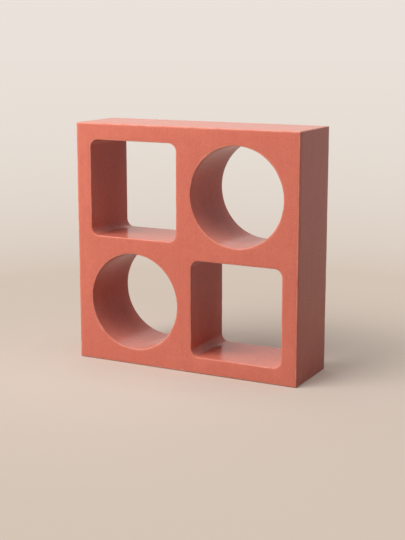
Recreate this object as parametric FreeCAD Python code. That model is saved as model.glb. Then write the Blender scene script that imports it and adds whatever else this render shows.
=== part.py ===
"""Screen block of fired clay: one square moulded piece with four openings through its depth.

The openings sit in a two by two grid. Two opposite ones are squares with rounded corners and the
other two are round. The mould's cores are drawn out through the back, so every opening is a little
wider there than at the front.

Units are millimetres. The block stands on its bed face: +Z is up, -Y is the front, and the origin
is the middle of the bed face.
"""

import FreeCAD
import Part

import math
import os

# The block outside
WIDTH = 200.0
HEIGHT = 200.0
DEPTH = 60.0

# The walls, measured at the front
SIDE_RIM = 14.0  # between an opening and the left or right outer face
TOP_RIM = 14.0  # between an opening and the top or bed face
POST = 14.0  # the upright wall between left and right openings
RAIL = 14.0  # the level wall between upper and lower openings

# The openings, at the front
CORNER_RADIUS = 6.5  # inside corners of the square openings
ROUND_EXTRA = 1.0  # how much wider a round opening is than the square cell that it fills
DRAFT_DEGREES = 1.0  # slope of every opening's wall, opening towards the back

# The eased edges
OUTER_ARRIS = 1.0  # radius along the block's outer edges
MOUTH_ARRIS = 0.8  # radius around each opening's mouth, front and back

FRONT_Y = -DEPTH / 2
BACK_Y = DEPTH / 2
GROWTH = DEPTH * math.tan(math.radians(DRAFT_DEGREES))  # an opening's wall moves out this far

CELL_WIDTH = (WIDTH - 2 * SIDE_RIM - POST) / 2
CELL_HEIGHT = (HEIGHT - 2 * TOP_RIM - RAIL) / 2
CENTRE_X = (POST + CELL_WIDTH) / 2  # from the block's middle to an opening's middle
CENTRE_Z = (RAIL + CELL_HEIGHT) / 2


def rounded_outline(width, height, radius, y):
    """A closed upright rectangle at depth y, about the Y axis, with four round corners."""
    right = width / 2 - radius
    top = height / 2 - radius
    edges = []
    corners = [(right, top), (-right, top), (-right, -top), (right, -top)]
    for turn, (x, z) in enumerate(corners):
        start = math.radians(90 * turn)
        middle = math.radians(90 * turn + 45)
        end = math.radians(90 * turn + 90)
        first, halfway, last = [
            FreeCAD.Vector(x + radius * math.cos(a), y, z + radius * math.sin(a))
            for a in (start, middle, end)
        ]
        edges.append(Part.Arc(first, halfway, last).toShape())
        next_x, next_z = corners[(turn + 1) % 4]
        next_first = FreeCAD.Vector(
            next_x + radius * math.cos(end), y, next_z + radius * math.sin(end)
        )
        edges.append(Part.LineSegment(last, next_first).toShape())
    return Part.Wire(edges)


def square_core(centre):
    """The solid that leaves a square opening: it tapers from the back face to the front face."""
    front = rounded_outline(CELL_WIDTH, CELL_HEIGHT, CORNER_RADIUS, FRONT_Y)
    back = rounded_outline(
        CELL_WIDTH + 2 * GROWTH,
        CELL_HEIGHT + 2 * GROWTH,
        CORNER_RADIUS + GROWTH,
        BACK_Y,
    )
    core = Part.makeLoft([front, back], True, True)
    core.translate(centre)
    return core


def round_core(centre):
    """The solid that leaves a round opening: a cone frustum, wider at the back."""
    front_radius = (min(CELL_WIDTH, CELL_HEIGHT) + ROUND_EXTRA) / 2
    start = centre + FreeCAD.Vector(0, FRONT_Y, 0)
    return Part.makeCone(
        front_radius, front_radius + GROWTH, DEPTH, start, FreeCAD.Vector(0, 1, 0)
    )


def outer_body():
    """The block before its openings are made, with its outer edges eased."""
    corner = FreeCAD.Vector(-WIDTH / 2, FRONT_Y, 0)
    body = Part.makeBox(WIDTH, DEPTH, HEIGHT, corner)
    return body.makeFillet(OUTER_ARRIS, body.Edges)


def mouth_edges(shape):
    """The edges that lie in the front or back face and go round an opening."""
    found = []
    for edge in shape.Edges:
        box = edge.BoundBox
        flat = box.YLength < 1e-4
        on_face = min(abs(box.YMin - FRONT_Y), abs(box.YMax - BACK_Y)) < 1e-4
        inside_x = max(abs(box.XMin), abs(box.XMax)) < WIDTH / 2 - 2 * OUTER_ARRIS
        inside_z = (
            box.ZMin > 2 * OUTER_ARRIS and box.ZMax < HEIGHT - 2 * OUTER_ARRIS
        )
        if flat and on_face and inside_x and inside_z:
            found.append(edge)
    return found


def block():
    """The whole block: squares at upper left and lower right, rounds in the other two cells."""
    middle = HEIGHT / 2
    shape = outer_body()
    cores = [
        square_core(FreeCAD.Vector(-CENTRE_X, 0, middle + CENTRE_Z)),
        square_core(FreeCAD.Vector(CENTRE_X, 0, middle - CENTRE_Z)),
        round_core(FreeCAD.Vector(CENTRE_X, 0, middle + CENTRE_Z)),
        round_core(FreeCAD.Vector(-CENTRE_X, 0, middle - CENTRE_Z)),
    ]
    for core in cores:
        shape = shape.cut(core)
    return shape.makeFillet(MOUTH_ARRIS, mouth_edges(shape)).Solids[0]


os.makedirs("parts", exist_ok=True)
solid = block()
solid.exportStep("parts/screen_block.step")
print("valid", solid.isValid(), "solids", len(solid.Solids), "faces", len(solid.Faces))
print("volume mm3", round(solid.Volume), "box", solid.BoundBox)
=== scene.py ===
"""The looks of a fired-clay screen block: one moulded square with two round and two square openings.

Everything is in metres, in the block's own frame: +Z up, -Y the front, and the origin in the middle of
the bed face. Sizes are written in millimetres times MM, and patterns take their scale from a real size.
"""

import math

import bmesh
import bpy
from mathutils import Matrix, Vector


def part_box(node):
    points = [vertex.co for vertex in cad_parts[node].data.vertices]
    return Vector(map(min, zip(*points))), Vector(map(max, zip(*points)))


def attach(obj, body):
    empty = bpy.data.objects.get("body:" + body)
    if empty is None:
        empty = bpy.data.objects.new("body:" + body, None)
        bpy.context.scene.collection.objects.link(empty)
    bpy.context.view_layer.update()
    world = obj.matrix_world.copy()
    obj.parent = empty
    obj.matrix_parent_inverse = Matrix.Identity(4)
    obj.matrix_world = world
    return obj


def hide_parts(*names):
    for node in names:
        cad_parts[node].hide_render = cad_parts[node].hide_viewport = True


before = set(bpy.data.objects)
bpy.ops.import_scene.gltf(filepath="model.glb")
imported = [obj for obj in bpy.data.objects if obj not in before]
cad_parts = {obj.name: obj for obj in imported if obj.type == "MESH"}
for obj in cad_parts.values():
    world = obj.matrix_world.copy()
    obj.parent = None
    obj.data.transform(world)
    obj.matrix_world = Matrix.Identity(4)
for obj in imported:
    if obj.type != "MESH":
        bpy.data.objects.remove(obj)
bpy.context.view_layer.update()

MM = 0.001

# The block's outside, from the frame
LOW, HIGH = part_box("screen_block")
WIDTH = HIGH.x - LOW.x
DEPTH = HIGH.y - LOW.y
HEIGHT = HIGH.z - LOW.z

# The walls and the openings, at the front face
RIM = 14 * MM  # between an opening and the nearest outer face
WEB = 14 * MM  # between one opening and the next
CORNER_RADIUS = 6.5 * MM  # inside corners of the square openings
ROUND_EXTRA = 1 * MM  # how much wider a round opening is than the square cell that it fills
DRAFT = math.radians(1)  # slope of every opening's wall, opening towards the back

CELL = (WIDTH - 2 * RIM - WEB) / 2
CENTRE_OUT = (WEB + CELL) / 2  # from the block's middle to an opening's middle
GROWTH = DEPTH * math.tan(DRAFT)  # an opening's wall moves out this far on its way to the back

# The eased edges
OUTER_ARRIS = 1 * MM
MOUTH_ARRIS = 0.8 * MM
ARRIS_STEPS = 4

# How fine the mesh is
SIDE_STEPS = 32  # along each side of a quarter of the block
CORNER_STEPS = 10  # round each inside corner of a square opening
RINGS = 8  # from an opening to the edge of its quarter
DEPTH_STEPS = 24  # from front to back

# The surface that drying, pressing and handling leave: the length of the waves and how deep they go
DRYING_WAVE, DRYING_DEPTH = 60 * MM, 0.2 * MM
PRESSED_WAVE, PRESSED_DEPTH = 9 * MM, 0.03 * MM
RUBBED_WAVE, RUBBED_DEPTH = 9 * MM, 0.25 * MM

# The clay's patterns, by the size of one feature
KILN_PATCH = 60 * MM
MOTTLE_SPOT = 9 * MM
STREAK_WIDTH = 5 * MM
STREAK_STRETCH = 0.12  # the streaks' scale along Z, against that across them
GRAIN_SIZE = 1.1 * MM
GROG_SPACING = 4.5 * MM
GRAIN_RELIEF = 0.05 * MM
GRAIN_RELIEF_STRENGTH = 0.1
STREAK_SHARE = 0.2  # how much the streaks and the grain each change the tone
GRAIN_SHARE = 0.25
SMOOTHEST, ROUGHEST = 0.22, 0.26  # roughness, which follows the kiln's patches
CLAY_IOR = 1.3

# The studio
FLOOR_RADIUS = 10.0
GLOW_REACH = 0.36  # from here outwards the floor shows its own tone and no shadow
TONE_REACH = 0.4  # from here outwards the floor's tone goes towards the backdrop's
BACKDROP_RISE = 0.25  # the height, as the Z of a direction, at which the backdrop's tone is the high one
CAMERA_AZIMUTH, CAMERA_ELEVATION = 27.29, 11.72
CAMERA_DISTANCE = 0.9194
CAMERA_LENS = 76.85
CAMERA_TARGET = Vector((17.5, -30, 86.7)) * MM
SIDE_FILL_TONE = "FCEBFA"  # a cool pink

NEAR = 0.02 * MM  # two places closer than this are the same place
STEEP = math.radians(60)  # two faces that meet by more than this make an edge round an opening
WALL_TURN = 2 * math.sin(DRAFT)  # a wall's normal leans towards the front by less than this
FACE_TURN = 0.999  # the front's and the back's lean by more than this


# ---------------------------------------------------------------- modelling by hand, in small steps


def select_only(*pieces):
    """Deselects everything else and makes the first piece the active one."""
    bpy.ops.object.select_all(action="DESELECT")
    for piece in pieces:
        piece.select_set(True)
    bpy.context.view_layer.objects.active = pieces[0]


def pick(kind, wanted):
    """In edit mode, selects only the vertices, edges or faces that wanted says yes to."""
    bpy.ops.mesh.select_mode(type=kind)
    bpy.ops.mesh.select_all(action="DESELECT")
    mesh = bpy.context.active_object.data
    shape = bmesh.from_edit_mesh(mesh)
    for part in {"VERT": shape.verts, "EDGE": shape.edges, "FACE": shape.faces}[kind]:
        if wanted(part):
            part.select_set(True)
    shape.select_flush_mode()
    bmesh.update_edit_mesh(mesh)


def square_outline(centre, width, corner_radius=0, corner_steps=0, side_steps=SIDE_STEPS):
    """A closed upright line round a square in the front plane, as its own object."""
    upright = (math.radians(90), 0, 0)
    bpy.ops.mesh.primitive_plane_add(size=width, location=centre, rotation=upright)
    outline = bpy.context.active_object
    bpy.ops.object.transform_apply(location=True, rotation=True, scale=True)
    bpy.ops.object.mode_set(mode="EDIT")
    bpy.ops.mesh.delete(type="ONLY_FACE")
    if corner_radius:
        bpy.ops.mesh.select_all(action="SELECT")
        bpy.ops.mesh.bevel(offset=corner_radius, segments=corner_steps, affect="VERTICES")
    longest = (width - 2 * corner_radius) - NEAR
    pick("EDGE", lambda edge: edge.calc_length() > longest)
    bpy.ops.mesh.subdivide(number_cuts=side_steps - 1)
    bpy.ops.object.mode_set(mode="OBJECT")
    return outline


def round_outline(centre, width):
    """A closed upright ring in the front plane, as its own object."""
    upright = (math.radians(90), 0, 0)
    bpy.ops.mesh.primitive_circle_add(
        vertices=4 * SIDE_STEPS, radius=width / 2, location=centre, rotation=upright
    )
    bpy.ops.object.transform_apply(location=True, rotation=True, scale=True)
    return bpy.context.active_object


def opening_centre(side, level):
    """The middle of an opening in the front plane: side is -1 left or 1 right, level -1 low or 1 high."""
    return Vector((side * CENTRE_OUT, LOW.y, HEIGHT / 2 + level * CENTRE_OUT))


def quarter(side, level, is_round):
    """A flat quarter of the front face: one ring of quads between its square edge and its opening."""
    centre = opening_centre(side, level)
    if is_round:
        mouth = round_outline(centre, CELL + ROUND_EXTRA)
    else:
        straight_steps = SIDE_STEPS - CORNER_STEPS
        mouth = square_outline(centre, CELL, CORNER_RADIUS, CORNER_STEPS, straight_steps)
    middle = Vector((side * WIDTH / 4, LOW.y, HEIGHT / 2 + level * HEIGHT / 4))
    edge = square_outline(middle, WIDTH / 2)
    select_only(edge, mouth)
    bpy.ops.object.join()
    bpy.ops.object.mode_set(mode="EDIT")
    bpy.ops.mesh.select_all(action="SELECT")
    bpy.ops.mesh.bridge_edge_loops()
    bpy.ops.object.mode_set(mode="OBJECT")
    return edge


def block_blank():
    """The square-edged block: a front plate of four quarters, pushed back through the depth."""
    plates = [
        quarter(-1, 1, is_round=False),
        quarter(1, 1, is_round=True),
        quarter(-1, -1, is_round=True),
        quarter(1, -1, is_round=False),
    ]
    select_only(*plates)
    bpy.ops.object.join()
    block = bpy.context.active_object
    block.name = "fired_clay_block"
    bpy.ops.object.mode_set(mode="EDIT")
    bpy.ops.mesh.select_all(action="SELECT")
    bpy.ops.mesh.remove_doubles(threshold=NEAR)
    bpy.ops.mesh.extrude_region_move(TRANSFORM_OT_translate={"value": (0, DEPTH, 0)})
    bpy.ops.mesh.select_all(action="SELECT")
    bpy.ops.mesh.normals_make_consistent(inside=False)
    return block


def in_opening(point, slack=NEAR):
    """True for a place on or inside the outline that an opening has at the front."""
    x = abs(abs(point.x) - CENTRE_OUT)
    z = abs(abs(point.z - HEIGHT / 2) - CENTRE_OUT)
    if (point.x > 0) == (point.z > HEIGHT / 2):
        return math.hypot(x, z) < (CELL + ROUND_EXTRA) / 2 + slack
    return max(x, z) < CELL / 2 + slack


def draft_openings():
    """Widens each opening at the back face, so that its wall slopes as the core needed."""
    for side in (-1, 1):
        for level in (-1, 1):
            centre = opening_centre(side, level)
            pick(
                "VERT",
                lambda v: v.co.y > HIGH.y - NEAR
                and in_opening(v.co)
                and v.co.x * side > 0
                and (v.co.z - HEIGHT / 2) * level > 0,
            )
            half = (CELL + ROUND_EXTRA if side == level else CELL) / 2
            wider = (half + GROWTH) / half
            bpy.ops.transform.resize(value=(wider, 1, wider), center_override=centre)


def on_outside(point):
    """How many of the six outer planes a place lies on."""
    return (
        (abs(point.x) > HIGH.x - NEAR)
        + (abs(point.y) > HIGH.y - NEAR)
        + (point.z < LOW.z + NEAR)
        + (point.z > HIGH.z - NEAR)
    )


def is_outer_edge(edge):
    middle = (edge.verts[0].co + edge.verts[1].co) / 2
    return on_outside(middle) >= 2


def is_mouth_edge(edge):
    flat = all(abs(v.co.y) > HIGH.y - NEAR for v in edge.verts)
    return flat and on_outside(edge.verts[0].co) == 1 and edge.calc_face_angle() > STEEP


def ease_arrises():
    """Rounds the outer edges, then the edges round each opening."""
    pick("EDGE", is_outer_edge)
    bpy.ops.mesh.bevel(offset=OUTER_ARRIS, segments=ARRIS_STEPS, affect="EDGES")
    pick("EDGE", is_mouth_edge)
    bpy.ops.mesh.bevel(offset=MOUTH_ARRIS, segments=ARRIS_STEPS, affect="EDGES")


def is_spoke(edge):
    """True for an edge on the front or back face that runs from an opening to its quarter's edge."""
    flat = all(abs(v.co.y) > HIGH.y - NEAR for v in edge.verts)
    ends = [in_opening(v.co, slack=GROWTH + 2 * MOUTH_ARRIS) for v in edge.verts]
    return flat and ends[0] != ends[1]


def is_depth_run(edge):
    """True for an edge that runs from the front to the back."""
    return abs(edge.verts[0].co.y - edge.verts[1].co.y) > DEPTH / 2


def cut_finer():
    """Cuts the faces round each opening into rings, and the walls into rows from front to back."""
    pick("EDGE", is_spoke)
    bpy.ops.mesh.subdivide(number_cuts=RINGS - 1)
    pick("EDGE", is_depth_run)
    bpy.ops.mesh.subdivide(number_cuts=DEPTH_STEPS - 1)


def is_eased(vertex):
    """True for a point on a rounded edge, which faces neither the front nor straight out of a wall."""
    turned_forward = abs(vertex.normal.y)
    at_side = abs(vertex.co.x) > HIGH.x - OUTER_ARRIS
    at_end = not LOW.z + OUTER_ARRIS < vertex.co.z < HIGH.z - OUTER_ARRIS
    return WALL_TURN < turned_forward < FACE_TURN or (at_side and at_end)


def mark_arrises(block):
    """Groups the points of every eased edge, and keeps them as a value that the clay's finish reads."""
    pick("VERT", is_eased)
    bpy.ops.object.vertex_group_assign_new()
    block.vertex_groups.active.name = "arris"
    bpy.ops.object.mode_set(mode="OBJECT")
    wear = block.data.attributes.new("arris_wear", "FLOAT", "POINT")
    for vertex in block.data.vertices:
        wear.data[vertex.index].value = float(len(vertex.groups))


def sink(block, name, wave, depth, group=""):
    """Lowers the surface here and there, by up to depth, in soft waves of that length."""
    waves = bpy.data.textures.new(name, "CLOUDS")
    waves.noise_scale = wave
    waves.noise_depth = 2
    modifier = block.modifiers.new(name, "DISPLACE")
    modifier.texture = waves
    modifier.texture_coords = "LOCAL"
    modifier.direction = "NORMAL"
    modifier.mid_level = 1
    modifier.strength = depth
    modifier.vertex_group = group
    bpy.ops.object.modifier_apply(modifier=name)


def make_block():
    """The finished block: drafted openings, eased arrises and a surface that dried a little uneven."""
    block = block_blank()
    draft_openings()
    ease_arrises()
    cut_finer()
    mark_arrises(block)
    select_only(block)
    bpy.ops.object.shade_smooth()
    sink(block, "drying_waves", DRYING_WAVE, DRYING_DEPTH)
    sink(block, "pressed_skin", PRESSED_WAVE, PRESSED_DEPTH)
    sink(block, "rubbed_arrises", RUBBED_WAVE, RUBBED_DEPTH, group="arris")
    block.modifiers.new("even_shading", "WEIGHTED_NORMAL")
    bpy.ops.object.modifier_apply(modifier="even_shading")
    return block


# ---------------------------------------------------------------- finishes


def srgb(hex_colour):
    """A colour written as RRGGBB, turned linear for the shader."""
    channels = [int(hex_colour[i : i + 2], 16) / 255 for i in (0, 2, 4)]
    return [c / 12.92 if c <= 0.04045 else ((c + 0.055) / 1.055) ** 2.4 for c in channels] + [1.0]


def add(tree, kind, inputs=None, **settings):
    """Adds a node with its settings; an input is either a value or another node's output."""
    node = tree.nodes.new(kind)
    for name, value in settings.items():
        setattr(node, name, value)
    for name, value in (inputs or {}).items():
        if isinstance(value, bpy.types.NodeSocket):
            tree.links.new(value, node.inputs[name])
        else:
            node.inputs[name].default_value = value
    return node


def new_finish(name):
    finish = bpy.data.materials.new(name)
    finish.use_nodes = True
    finish.node_tree.nodes.clear()
    return finish, finish.node_tree


def per_metre(size):
    """The scale that makes a pattern's features about this size."""
    return 1 / size


def fired_clay():
    """Pressed red clay with a fine slip, fired once and unglazed, so it is satin rather than shiny.

    The kiln leaves slow changes of tone and of sheen, the slip leaves a fine mottle, and the mould faint
    upright streaks. Crushed clay in the mix shows as fine grain and the odd dark speck, and hands rub the
    arrises a little paler. Seen almost edge on, the tight skin reflects like eggshell.
    """
    finish, tree = new_finish("fired clay")
    place = add(tree, "ShaderNodeTexCoord").outputs["Object"]

    kiln = add(
        tree, "ShaderNodeTexNoise", {"Vector": place, "Scale": per_metre(KILN_PATCH), "Detail": 2.0}
    )
    streaked = add(tree, "ShaderNodeMapping", {"Vector": place, "Scale": (1, 1, STREAK_STRETCH)})
    streaks = add(
        tree,
        "ShaderNodeTexNoise",
        {"Vector": streaked.outputs["Vector"], "Scale": per_metre(STREAK_WIDTH), "Detail": 3.0},
    )
    mottle = add(
        tree, "ShaderNodeTexNoise", {"Vector": place, "Scale": per_metre(MOTTLE_SPOT), "Detail": 5.0}
    )
    grain = add(
        tree, "ShaderNodeTexNoise", {"Vector": place, "Scale": per_metre(GRAIN_SIZE), "Detail": 3.0}
    )
    grog = add(
        tree, "ShaderNodeTexVoronoi", {"Vector": place, "Scale": per_metre(GROG_SPACING), "Randomness": 1.0}
    )

    def blend(amount, low, high, start, end):
        """A colour that goes from start to end as amount goes from low to high."""
        share = add(
            tree, "ShaderNodeMapRange", {"Value": amount, "From Min": low, "From Max": high}
        ).outputs["Result"]
        return add(tree, "ShaderNodeMix", {0: share, 6: start, 7: end}, data_type="RGBA").outputs[2]

    tone = blend(kiln.outputs["Fac"], 0.35, 0.65, srgb("D2705C"), srgb("DA7862"))
    tone = blend(mottle.outputs["Fac"], 0.35, 0.75, tone, srgb("CF6E5B"))
    drag = blend(streaks.outputs["Fac"], 0.35, 0.65, srgb("CC6A58"), srgb("DC7C67"))
    tone = add(tree, "ShaderNodeMix", {0: STREAK_SHARE, 6: tone, 7: drag}, data_type="RGBA").outputs[2]
    grit = blend(grain.outputs["Fac"], 0.35, 0.65, srgb("C4614F"), srgb("E08A74"))
    tone = add(tree, "ShaderNodeMix", {0: GRAIN_SHARE, 6: tone, 7: grit}, data_type="RGBA").outputs[2]
    tone = blend(grog.outputs["Distance"], 0.09, 0.05, tone, srgb("C2614F"))
    rubbed = add(tree, "ShaderNodeAttribute", attribute_name="arris_wear").outputs["Fac"]
    rubbed = add(
        tree, "ShaderNodeMath", {0: rubbed, 1: mottle.outputs["Fac"]}, operation="MULTIPLY"
    ).outputs["Value"]
    tone = blend(rubbed, 0.3, 0.9, tone, srgb("E79A84"))

    gloss = add(
        tree,
        "ShaderNodeMapRange",
        {
            "Value": kiln.outputs["Fac"],
            "From Min": 0.3,
            "From Max": 0.7,
            "To Min": SMOOTHEST,
            "To Max": ROUGHEST,
        },
    ).outputs["Result"]
    skin = add(
        tree,
        "ShaderNodeBump",
        {"Height": grain.outputs["Fac"], "Strength": GRAIN_RELIEF_STRENGTH, "Distance": GRAIN_RELIEF},
    )
    shader = add(
        tree,
        "ShaderNodeBsdfPrincipled",
        {"Base Color": tone, "Roughness": gloss, "IOR": CLAY_IOR, "Normal": skin.outputs["Normal"]},
    )
    add(tree, "ShaderNodeOutputMaterial", {"Surface": shader.outputs["BSDF"]})
    return finish


def seen_ray(tree):
    """1 for a ray that shows what it meets, seen, mirrored or through glass, 0 for one that only lights."""
    ray = add(tree, "ShaderNodeLightPath")
    seen = ray.outputs["Is Camera Ray"]
    for way in ("Is Glossy Ray", "Is Transmission Ray"):
        both = add(tree, "ShaderNodeMath", {0: seen, 1: ray.outputs[way]}, operation="MAXIMUM")
        seen = both.outputs["Value"]
    return seen


def studio_paper(near, middle, far, bounce):
    """Pale background paper. Further out it is seen in the backdrop's tone, so that no horizon shows,
    and shadows fade with distance from the block.

    It throws back less light than it seems to, as a table does that ends just past the view.
    """
    finish, tree = new_finish("studio paper")
    seen = seen_ray(tree)
    place = add(tree, "ShaderNodeTexCoord").outputs["Object"]
    reach = add(tree, "ShaderNodeVectorMath", {0: place}, operation="LENGTH").outputs["Value"]
    share = add(
        tree,
        "ShaderNodeMapRange",
        {"Value": reach, "From Min": 0.0, "From Max": GLOW_REACH, "To Max": seen},
        interpolation_type="SMOOTHSTEP",
    ).outputs["Result"]
    nearness = add(tree, "ShaderNodeMath", {0: TONE_REACH, 1: reach}, operation="DIVIDE").outputs["Value"]
    rise = add(
        tree, "ShaderNodeMapRange", {"Value": nearness, "From Min": 1.0, "From Max": 0.0}
    ).outputs["Result"]
    tone = add(tree, "ShaderNodeMix", {0: rise, 6: middle, 7: far}, data_type="RGBA").outputs[2]
    surface = add(tree, "ShaderNodeMix", {0: seen, 6: bounce, 7: near}, data_type="RGBA").outputs[2]
    paper = add(tree, "ShaderNodeBsdfDiffuse", {"Color": surface})
    glow = add(tree, "ShaderNodeEmission", {"Color": tone, "Strength": 1.0})
    both = add(
        tree, "ShaderNodeMixShader", {0: share, 1: paper.outputs["BSDF"], 2: glow.outputs["Emission"]}
    )
    add(tree, "ShaderNodeOutputMaterial", {"Surface": both.outputs["Shader"]})
    return finish


# ---------------------------------------------------------------- studio


def make_floor(finish):
    bpy.ops.mesh.primitive_circle_add(vertices=96, radius=FLOOR_RADIUS, fill_type="NGON")
    floor = bpy.context.active_object
    floor.name = "studio_floor"
    floor.data.materials.append(finish)


def make_backdrop(low_tone, high_tone):
    """The room: the camera and reflections see cream paper, which lights nothing itself."""
    world = bpy.data.worlds.new("studio")
    world.use_nodes = True
    tree = world.node_tree
    tree.nodes.clear()
    way = add(tree, "ShaderNodeTexCoord").outputs["Generated"]
    rise = add(tree, "ShaderNodeSeparateXYZ", {"Vector": way}).outputs["Z"]
    share = add(
        tree, "ShaderNodeMapRange", {"Value": rise, "From Min": 0.0, "From Max": BACKDROP_RISE}
    ).outputs["Result"]
    paper = add(
        tree, "ShaderNodeMix", {0: share, 6: low_tone, 7: high_tone}, data_type="RGBA"
    ).outputs[2]
    backdrop = add(tree, "ShaderNodeBackground", {"Color": paper, "Strength": 1.0})
    unlit = add(tree, "ShaderNodeBackground", {"Strength": 0.0})
    both = add(
        tree,
        "ShaderNodeMixShader",
        {0: seen_ray(tree), 1: unlit.outputs["Background"], 2: backdrop.outputs["Background"]},
    )
    add(tree, "ShaderNodeOutputWorld", {"Surface": both.outputs["Shader"]})
    bpy.context.scene.world = world


def stand(azimuth, elevation, distance, target):
    """A place that far from the target, and the turn that faces it: 0 degrees is the front, 90 the right."""
    a = math.radians(azimuth)
    e = math.radians(elevation)
    away = Vector((math.sin(a) * math.cos(e), -math.cos(a) * math.cos(e), math.sin(e)))
    return target + away * distance, (-away).to_track_quat("-Z", "Y").to_euler()


def make_lamp(name, azimuth, elevation, distance, size, power, target, colour=(1, 1, 1)):
    """A square soft box that faces the target, with its size in metres and its power in watts."""
    place, turn = stand(azimuth, elevation, distance, target)
    bpy.ops.object.light_add(type="AREA", location=place, rotation=turn)
    lamp = bpy.context.active_object
    lamp.name = name
    lamp.data.size = size
    lamp.data.energy = power
    lamp.data.color = colour[:3]


def make_camera(azimuth, elevation, distance, lens, target):
    place, turn = stand(azimuth, elevation, distance, target)
    bpy.ops.object.camera_add(location=place, rotation=turn)
    camera = bpy.context.active_object
    camera.name = "camera"
    camera.data.lens = lens
    camera.data.clip_start = 0.01
    bpy.context.scene.camera = camera


block = make_block()
block.data.materials.clear()
block.data.materials.append(fired_clay())
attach(block, "root")
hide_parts("screen_block")

middle = (LOW + HIGH) / 2
make_camera(CAMERA_AZIMUTH, CAMERA_ELEVATION, CAMERA_DISTANCE, CAMERA_LENS, CAMERA_TARGET)
paper = studio_paper(
    near=srgb("D0C1B4"), middle=srgb("D5C5B7"), far=srgb("EAE2DA"), bounce=srgb("8C8078")
)
make_floor(paper)
make_backdrop(srgb("EAE2DA"), srgb("EEE8E1"))
make_lamp("key_soft_box", azimuth=-31, elevation=39, distance=1.7, size=1.2, power=31, target=middle)
make_lamp("low_front_fill", azimuth=-62, elevation=2, distance=1.2, size=0.6, power=7, target=middle)
make_lamp("overhead_soft_box", azimuth=0, elevation=88, distance=1.3, size=0.9, power=8, target=middle)
make_lamp(
    "right_fill",
    azimuth=90,
    elevation=20,
    distance=1.7,
    size=1.0,
    power=4.0,
    target=middle,
    colour=srgb(SIDE_FILL_TONE),
)
make_lamp("back_fill", azimuth=-150, elevation=35, distance=1.7, size=1.0, power=2, target=middle)
bpy.context.scene.view_settings.view_transform = "Standard"
